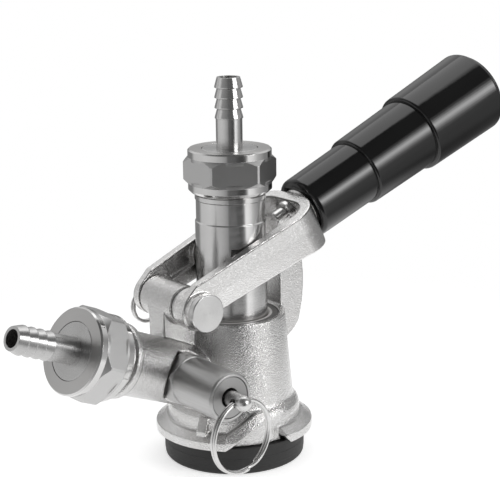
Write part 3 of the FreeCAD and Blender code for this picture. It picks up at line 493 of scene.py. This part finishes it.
def casting_fillets(points):
    """Outside of the casting, away from bores, seats and moving parts."""
    x, y, z = points.T / MM
    radius = np.hypot(x, y)
    outside = smooth_step(radius, *FILLET_RADIUS) * smooth_step(z, *FILLET_FOOT)
    outside = outside * (1 - smooth_step(z, *FILLET_TOP))
    gas = np.array(GAS_AXIS)
    along = (points - np.array(GAS_START)) @ gas / MM
    off_axis = np.linalg.norm(points / MM - np.array(GAS_START) / MM - along[:, None] * gas, axis=1)
    skin = smooth_step(off_axis, *GAS_ARM_RADIUS)
    beside = (np.abs(x - RELIEF_X) < RELIEF_HALF_WIDTH) * (radius > RELIEF_RADIUS)
    clear_of_relief = smooth_step(-y, *RELIEF_SEAT) * beside < 1
    return outside * skin * clear_of_relief * (along < GAS_ARM_END)


def sweep(points, radius, sides=14):
    """Round wire along a line, closed with domed ends."""
    points = np.asarray(points)
    tangents = np.gradient(points, axis=0)
    tangents /= np.linalg.norm(tangents, axis=1)[:, None]
    dome = [(-0.95, 0.25), (-0.7, 0.7), (-0.35, 0.93)]
    inset = 0.35
    lines, radii, frames = [], [], []
    for back, size in dome:
        lines.append(points[0] + tangents[0] * radius * (back + inset))
        radii.append(radius * size)
        frames.append(tangents[0])
    for place, tangent in zip(points[1:-1], tangents[1:-1]):
        lines.append(place)
        radii.append(radius)
        frames.append(tangent)
    for back, size in reversed(dome):
        lines.append(points[-1] - tangents[-1] * radius * (back + inset))
        radii.append(radius * size)
        frames.append(tangents[-1])
    spread = points - points.mean(0)
    axis = np.linalg.svd(spread, full_matrices=False)[2][2]
    vertices, faces = [], []
    for place, size, tangent in zip(lines, radii, frames):
        side = axis - tangent * (axis @ tangent)
        side /= np.linalg.norm(side)
        other = np.cross(tangent, side)
        for turn in np.arange(sides) * 2 * math.pi / sides:
            vertices.append(place + size * (math.cos(turn) * side + math.sin(turn) * other))
    for row in range(len(lines) - 1):
        for column in range(sides):
            a = row * sides + column
            b = row * sides + (column + 1) % sides
            faces.append((a, b, b + sides, a + sides))
    faces.append(tuple(reversed(range(sides))))
    faces.append(tuple(range((len(lines) - 1) * sides, len(lines) * sides)))
    mesh = bpy.data.meshes.new("wire")
    mesh.from_pydata([tuple(v) for v in vertices], [], faces)
    mesh.update()
    return mesh


def split_ring(name, node, wire, gap_angle, finish):
    """Two turns of wire with one crossing and two free ends, where the node's own ring lies."""
    upward = np.array((0.2, 0.3, 0.9))
    gap = 0.16
    crossing = 0.3
    steps = 220
    low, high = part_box(node)
    points = mesh_arrays(nodes[node].data)[0]
    centre = np.array((low + high) / 2)
    spread = points - centre
    normal = np.linalg.svd(spread - spread.mean(0), full_matrices=False)[2][2]
    if normal @ upward < 0:
        normal = -normal
    first = np.cross(normal, (0, 0, 1.0))
    if np.linalg.norm(first) < 0.2:
        first = np.cross(normal, (0, 1.0, 0))
    first /= np.linalg.norm(first)
    second = np.cross(normal, first)
    flat = spread - np.outer(spread @ normal, normal)
    radius = np.linalg.norm(flat, axis=1).max() - wire
    half = np.abs(spread @ normal).max() - wire
    turns = np.linspace(gap, 4 * math.pi - gap, steps)
    level = half * (2 * smooth_step(turns, 2 * math.pi - crossing, 2 * math.pi + crossing) - 1)
    angle = turns + gap_angle
    line = (centre + radius * (np.outer(np.cos(angle), first) + np.outer(np.sin(angle), second))
            + np.outer(level, normal))
    link_piece(name, sweep(line, wire), node, finish)


def coil_spring(name, node, finish):
    """A copy of the node's coil, shown in the node's place as a fixed piece."""
    mesh = nodes[node].data.copy()
    points = mesh_arrays(mesh)[0]
    piece = new_piece(name, mesh, finish)
    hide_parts(node)
    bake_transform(piece)


def seal_parting_line(finish):
    """Fine flash line round the middle of the body seal."""
    steps, section = 160, [(-0.5, -0.12), (0.02, -0.10), (0.07, 0.0), (0.02, 0.10), (-0.5, 0.12)]
    vertices, faces = [], []
    for step in range(steps):
        turn = 2 * math.pi * step / steps
        for out, up in section:
            r = SEAL_RADIUS + out * MM
            vertices.append((r * math.cos(turn), r * math.sin(turn), PARTING_HEIGHT + up * MM))
    count = len(section)
    for step in range(steps):
        for k in range(count):
            a = step * count + k
            b = step * count + (k + 1) % count
            c = ((step + 1) % steps) * count + (k + 1) % count
            d = ((step + 1) % steps) * count + k
            faces.append((a, d, c, b))
    mesh = bpy.data.meshes.new("seal_parting_line")
    mesh.from_pydata(vertices, [], faces)
    mesh.update()
    piece = new_piece("seal_parting_line", mesh, finish)
    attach(piece, "body")


def finish_node(name, finish):
    mesh = nodes[name].data
    for slot in nodes[name].material_slots:
        slot.material = finish
    if not nodes[name].material_slots:
        mesh.materials.append(finish)


# Dress the part

def dress():
    cast = cast_metal("cast_nickel_body", pale=0.62, dark=0.15, grain_height=0.11 * MM, rough=0.11)
    yoke_cast = cast_metal("cast_nickel_yoke", pale=0.72, dark=0.22, grain_height=0.06 * MM, rough=0.19,
                           line=RIM_SHADOW_LINE)
    probe = turned_metal("polished_probe", 0.64, 0.17, lines=5200.0, depth=0.0008 * MM, grooves=0.85)
    flange = turned_metal("turned_fittings", 0.62, 0.20, depth=0.003 * MM, grooves=0.8)
    gas_turned = turned_metal("turned_gas_fittings", 0.52, 0.27, GAS_START, GAS_AXIS,
                              depth=0.003 * MM, grooves=0.8)
    pin_metal = turned_metal("turned_pin", 0.62, 0.2, PIVOT, ACROSS)
    nut = hex_metal("hex_nut_top", 0.64, 0.32, TOP_HEX, flats=0.50)
    gas_nut = hex_metal("hex_nut_gas", 0.62, 0.34, GAS_HEX, flats=0.55, origin=GAS_START, axis=GAS_AXIS)
    relief = brushed_metal("relief_brushed", 0.46, 0.34, RELIEF_CENTRE, RELIEF_AXIS)
    relief_turned = turned_metal("relief_turned", 0.62, 0.24, RELIEF_CENTRE, RELIEF_AXIS)
    relief_face = turned_metal("relief_face", 0.34, 0.42, RELIEF_CENTRE, RELIEF_AXIS,
                               lines=5000.0, depth=0.02 * MM, grooves=0.3)
    wire = wire_metal("ring_wire")
    grip = glossy_plastic("grip_black")
    black = rubber("seal_rubber")
    bush = dull_plastic("bush_plastic")

    body = soften(remeshed("body_casting", BODY_VOXEL), rounding=2, filling=16, where=casting_fillets)
    link_piece("cast_body", body, "body_casting", cast)
    yoke = soften(remeshed("lever_yoke", YOKE_VOXEL), rounding=3)
    link_piece("cast_yoke", yoke, "lever_yoke", yoke_cast)
    split_ring("pull_ring_wire", "relief_pull_ring", RING_WIRE, 1.2, wire)
    split_ring("pin_ring_wire", "hinge_pin_ring", RING_WIRE, 2.4, wire)
    coil_spring("plunger_coil", "plunger_spring", wire)
    coil_spring("relief_coil", "relief_spring", wire)
    seal_parting_line(black)

    finishes = {
        "body_seal": black, "probe_ring_lower": black, "probe_ring_upper": black, "probe_tip_seal": black,
        "gas_check_valve": black, "gas_washer": black, "beer_washer": black, "relief_gasket": black,
        "relief_seal": black, "probe_guide_bush": bush, "plunger_bush": pin_metal, "ball_seat": bush,
        "hinge_pin": pin_metal, "hinge_washer": pin_metal, "link_pin": pin_metal, "plunger": pin_metal,
        "handle_rod": pin_metal, "ball_stop_pin": pin_metal, "beer_hex_nut": nut, "gas_hex_nut": gas_nut,
        "gas_tailpiece": gas_turned, "beer_tailpiece": flange, "probe_tube": probe, "check_ball": probe,
        "relief_body": relief, "relief_cap": relief_face, "relief_stem": relief_turned,
        "grip_sleeve": grip, "grip_end_cap": grip,
    }
    for name, finish in finishes.items():
        finish_node(name, finish)


# Camera, light and floor

CAMERA_AZIMUTH = math.radians(-37.49)
CAMERA_HEIGHT = math.radians(13.72)
CAMERA_ROLL = math.radians(-0.804)
CAMERA_DISTANCE = 486.6 * MM
CAMERA_SIDE = 6.27 * MM
CAMERA_AIM = 74.2 * MM
PICTURE_WIDTH = 500
FOCAL_PIXELS = 1469.0
FILM_WIDTH = 36


def direction(azimuth, height):
    """Unit vector from the object towards a place in the studio. Azimuth 0 is in front, on -Y."""
    level = math.cos(height)
    return Vector((math.sin(azimuth) * level, -math.cos(azimuth) * level, math.sin(height)))


def make_camera():
    back = direction(CAMERA_AZIMUTH, CAMERA_HEIGHT)
    side = Vector((math.cos(CAMERA_AZIMUTH), math.sin(CAMERA_AZIMUTH), 0))
    over = back.cross(side)
    right = side * math.cos(CAMERA_ROLL) + over * math.sin(CAMERA_ROLL)
    up = over * math.cos(CAMERA_ROLL) - side * math.sin(CAMERA_ROLL)
    data = bpy.data.cameras.new("camera")
    camera = bpy.data.objects.new("camera", data)
    scene.collection.objects.link(camera)
    place = Vector((0, 0, CAMERA_AIM)) + right * CAMERA_SIDE + back * CAMERA_DISTANCE
    turn = Matrix((right, up, back)).transposed().to_4x4()
    camera.matrix_world = Matrix.Translation(place) @ turn
    data.sensor_width = FILM_WIDTH
    data.lens = FOCAL_PIXELS * FILM_WIDTH / PICTURE_WIDTH
    data.clip_start = 0.01
    data.clip_end = 20
    scene.camera = camera


def seen_directly(g):
    """One for rays that should show the plain white background."""
    path = g.add("LightPath")
    any_of = g.math("MAXIMUM", path.outputs["Is Camera Ray"], path.outputs["Is Glossy Ray"])
    return g.math("MAXIMUM", any_of, path.outputs["Is Transmission Ray"])


def make_world(ambient):
    """Plain white where it is seen, and dimmer as light on the part."""
    g = Graph("studio", bpy.data.worlds, "ShaderNodeOutputWorld")
    level = g.span(seen_directly(g), 0.0, 1.0, ambient, 1.0)
    glow = g.add("Background", {"Color": grey(1.0), "Strength": level})
    g.show(glow)
    scene.world = g.owner


FLOOR_CENTRE = Vector((0.015, 0, 0))
FLOOR_RINGS = [0.04, 0.08, 0.12, 0.16, 0.20, 0.24]
FLOOR_STEPS = 96
FLOOR_FADE = (0.10, 0.22)
FLOOR_GAP = 0.02 * MM
FLOOR_LIFT = 0.54


def make_floor():
    """Pale sheet under the part that fades into the white background."""
    steps, centre = FLOOR_STEPS, FLOOR_CENTRE
    vertices = [tuple(centre)]
    faces = []
    for radius in FLOOR_RINGS:
        for step in range(steps):
            turn = 2 * math.pi * step / steps
            vertices.append((centre.x + radius * math.cos(turn), radius * math.sin(turn), 0.0))
    for step in range(steps):
        faces.append((0, 1 + step, 1 + (step + 1) % steps))
    for ring in range(len(FLOOR_RINGS) - 1):
        for step in range(steps):
            a = 1 + ring * steps + step
            b = 1 + ring * steps + (step + 1) % steps
            faces.append((a, a + steps, b + steps, b))
    mesh = bpy.data.meshes.new("floor")
    mesh.from_pydata(vertices, [], faces)
    mesh.update()
    floor = bpy.data.objects.new("floor", mesh)
    scene.collection.objects.link(floor)
    floor.location.z = cad_low.z - FLOOR_GAP
    g = Graph("floor_sheet")
    place = g.add("TexCoord").outputs["Object"]
    shifted = g.add("VectorMath", {0: place, 1: tuple(-centre)}, operation="ADD").outputs[0]
    out = g.rim_distance(shifted)
    fade = g.add("MapRange", {"Value": out, "From Min": FLOOR_FADE[0], "From Max": FLOOR_FADE[1]},
                 interpolation_type="SMOOTHSTEP")
    paper = g.noise(place, scale=900, detail=3.0)
    sheet = g.add("BsdfDiffuse", {"Color": g.mix(g.span(paper, 0.3, 0.7), grey(0.88), grey(0.9))})
    shown = g.math("MULTIPLY", seen_directly(g), FLOOR_LIFT)
    lift = g.add("Emission", {"Color": grey(1.0), "Strength": shown})
    lit = g.add("AddShader", {0: sheet.outputs[0], 1: lift.outputs[0]})
    clear = g.add("BsdfTransparent")
    both = g.add("MixShader", {0: fade.outputs[0], 1: lit.outputs[0], 2: clear.outputs[0]})
    g.show(both)
    mesh.materials.append(g.owner)


# Levels round the studio, by degrees to the right of the camera: dark flags, pale cards, one bright card
SURROUND_LEVELS = [(-180, 0.24), (-125, 0.28), (-112, 0.72), (-70, 0.82), (-45, 0.74), (-20, 0.52),
                   (-7, 0.34), (-5, 0.17), (16, 0.14), (22, 0.10), (34, 0.07), (42, 0.12), (48, 0.45),
                   (52, 1.15), (66, 1.0), (82, 0.6), (110, 0.3), (180, 0.22)]
SURROUND_RADIUS = 2.0

# Degrees between which the studio changes: beside to behind, front to side, and upwards or downwards
SIDE_TO_BEHIND = (96, 118)
FRONT_TO_SIDE = (60, 96)
RISING = (2, 34)
FALLING = (18, 34)
OVERHEAD = (58, 80)


def blend_level(value, low, high):
    """Nought below low, one above high and smooth between."""
    return float(smooth_step(np.array(value), low, high))


def surround_level(turn, height):
    """Brightness of the studio in one direction, both in degrees."""
    turns, levels = zip(*SURROUND_LEVELS)
    low = float(np.interp(turn, turns, levels))
    behind = blend_level(abs(turn), *SIDE_TO_BEHIND)
    front = 0.16 + 0.10 * blend_level(abs(turn), *FRONT_TO_SIDE)
    high = behind * 0.85 + (1 - behind) * front
    level = low + (high - low) * blend_level(height, *RISING)
    level *= 1 - 0.5 * blend_level(-height, *FALLING)
    top = blend_level(height, *OVERHEAD)
    return level * (1 - top) + top * (0.12 + 0.9 * behind)


def make_surround():
    """Flags and cards round the part. Only polished surfaces see them."""
    columns, rows = 144, 60
    vertices, levels = [], []
    for row in range(rows + 1):
        height = -90 + 180 * row / rows
        for column in range(columns):
            turn = -180 + 360 * column / columns
            way = direction(CAMERA_AZIMUTH + math.radians(turn), math.radians(height))
            vertices.append(tuple(way * SURROUND_RADIUS))
            levels.append(surround_level(turn, height))
    faces = []
    for row in range(rows):
        for column in range(columns):
            a = row * columns + column
            b = row * columns + (column + 1) % columns
            faces.append((a, a + columns, b + columns, b))
    mesh = bpy.data.meshes.new("studio_cards")
    mesh.from_pydata(vertices, [], faces)
    layer = mesh.attributes.new("level", "FLOAT", "POINT")
    layer.data.foreach_set("value", levels)
    mesh.update()
    cards = bpy.data.objects.new("studio_cards", mesh)
    scene.collection.objects.link(cards)
    g = Graph("studio_cards")
    level = g.add("Attribute", attribute_name="level").outputs["Fac"]
    glow = g.add("Emission", {"Color": grey(1.0), "Strength": level})
    g.show(glow)
    mesh.materials.append(g.owner)
    cards.visible_camera = False
    cards.visible_diffuse = False
    cards.visible_shadow = False


LAMP_AIM = Vector((0.02, 0, 0.07))


def area_lamp(name, turn, height, distance, width, tall, radiance):
    """Soft box whose place is given in degrees from the camera's own direction."""
    data = bpy.data.lights.new(name, "AREA")
    data.shape = "RECTANGLE"
    data.size = width
    data.size_y = tall
    data.energy = radiance * math.pi * width * tall
    lamp = bpy.data.objects.new(name, data)
    scene.collection.objects.link(lamp)
    way = direction(CAMERA_AZIMUTH + math.radians(turn), math.radians(height))
    lamp.location = LAMP_AIM + way * distance
    lamp.rotation_euler = way.to_track_quat("Z", "Y").to_euler()


# The key light is nested soft boxes, brightest in the middle: width, height, distance and radiance
KEY_TURN = 60
KEY_HEIGHT = 21
KEY_BOXES = [(0.70, 0.75, 1.22, 0.6), (0.66, 0.52, 1.21, 1.6), (0.62, 0.32, 1.20, 2.6), (0.60, 0.14, 1.19, 2.6)]


def make_light():
    for width, tall, distance, radiance in KEY_BOXES:
        area_lamp("key_box", KEY_TURN, KEY_HEIGHT, distance, width, tall, radiance)
    area_lamp("top_box", turn=168, height=66, distance=1.3, width=1.1, tall=0.9, radiance=0.9)
    area_lamp("left_box", turn=-80, height=24, distance=1.4, width=0.6, tall=0.7, radiance=0.35)


dress()
make_camera()
make_world(ambient=0.5)
make_floor()
make_surround()
make_light()
scene.view_settings.view_transform = "Standard"
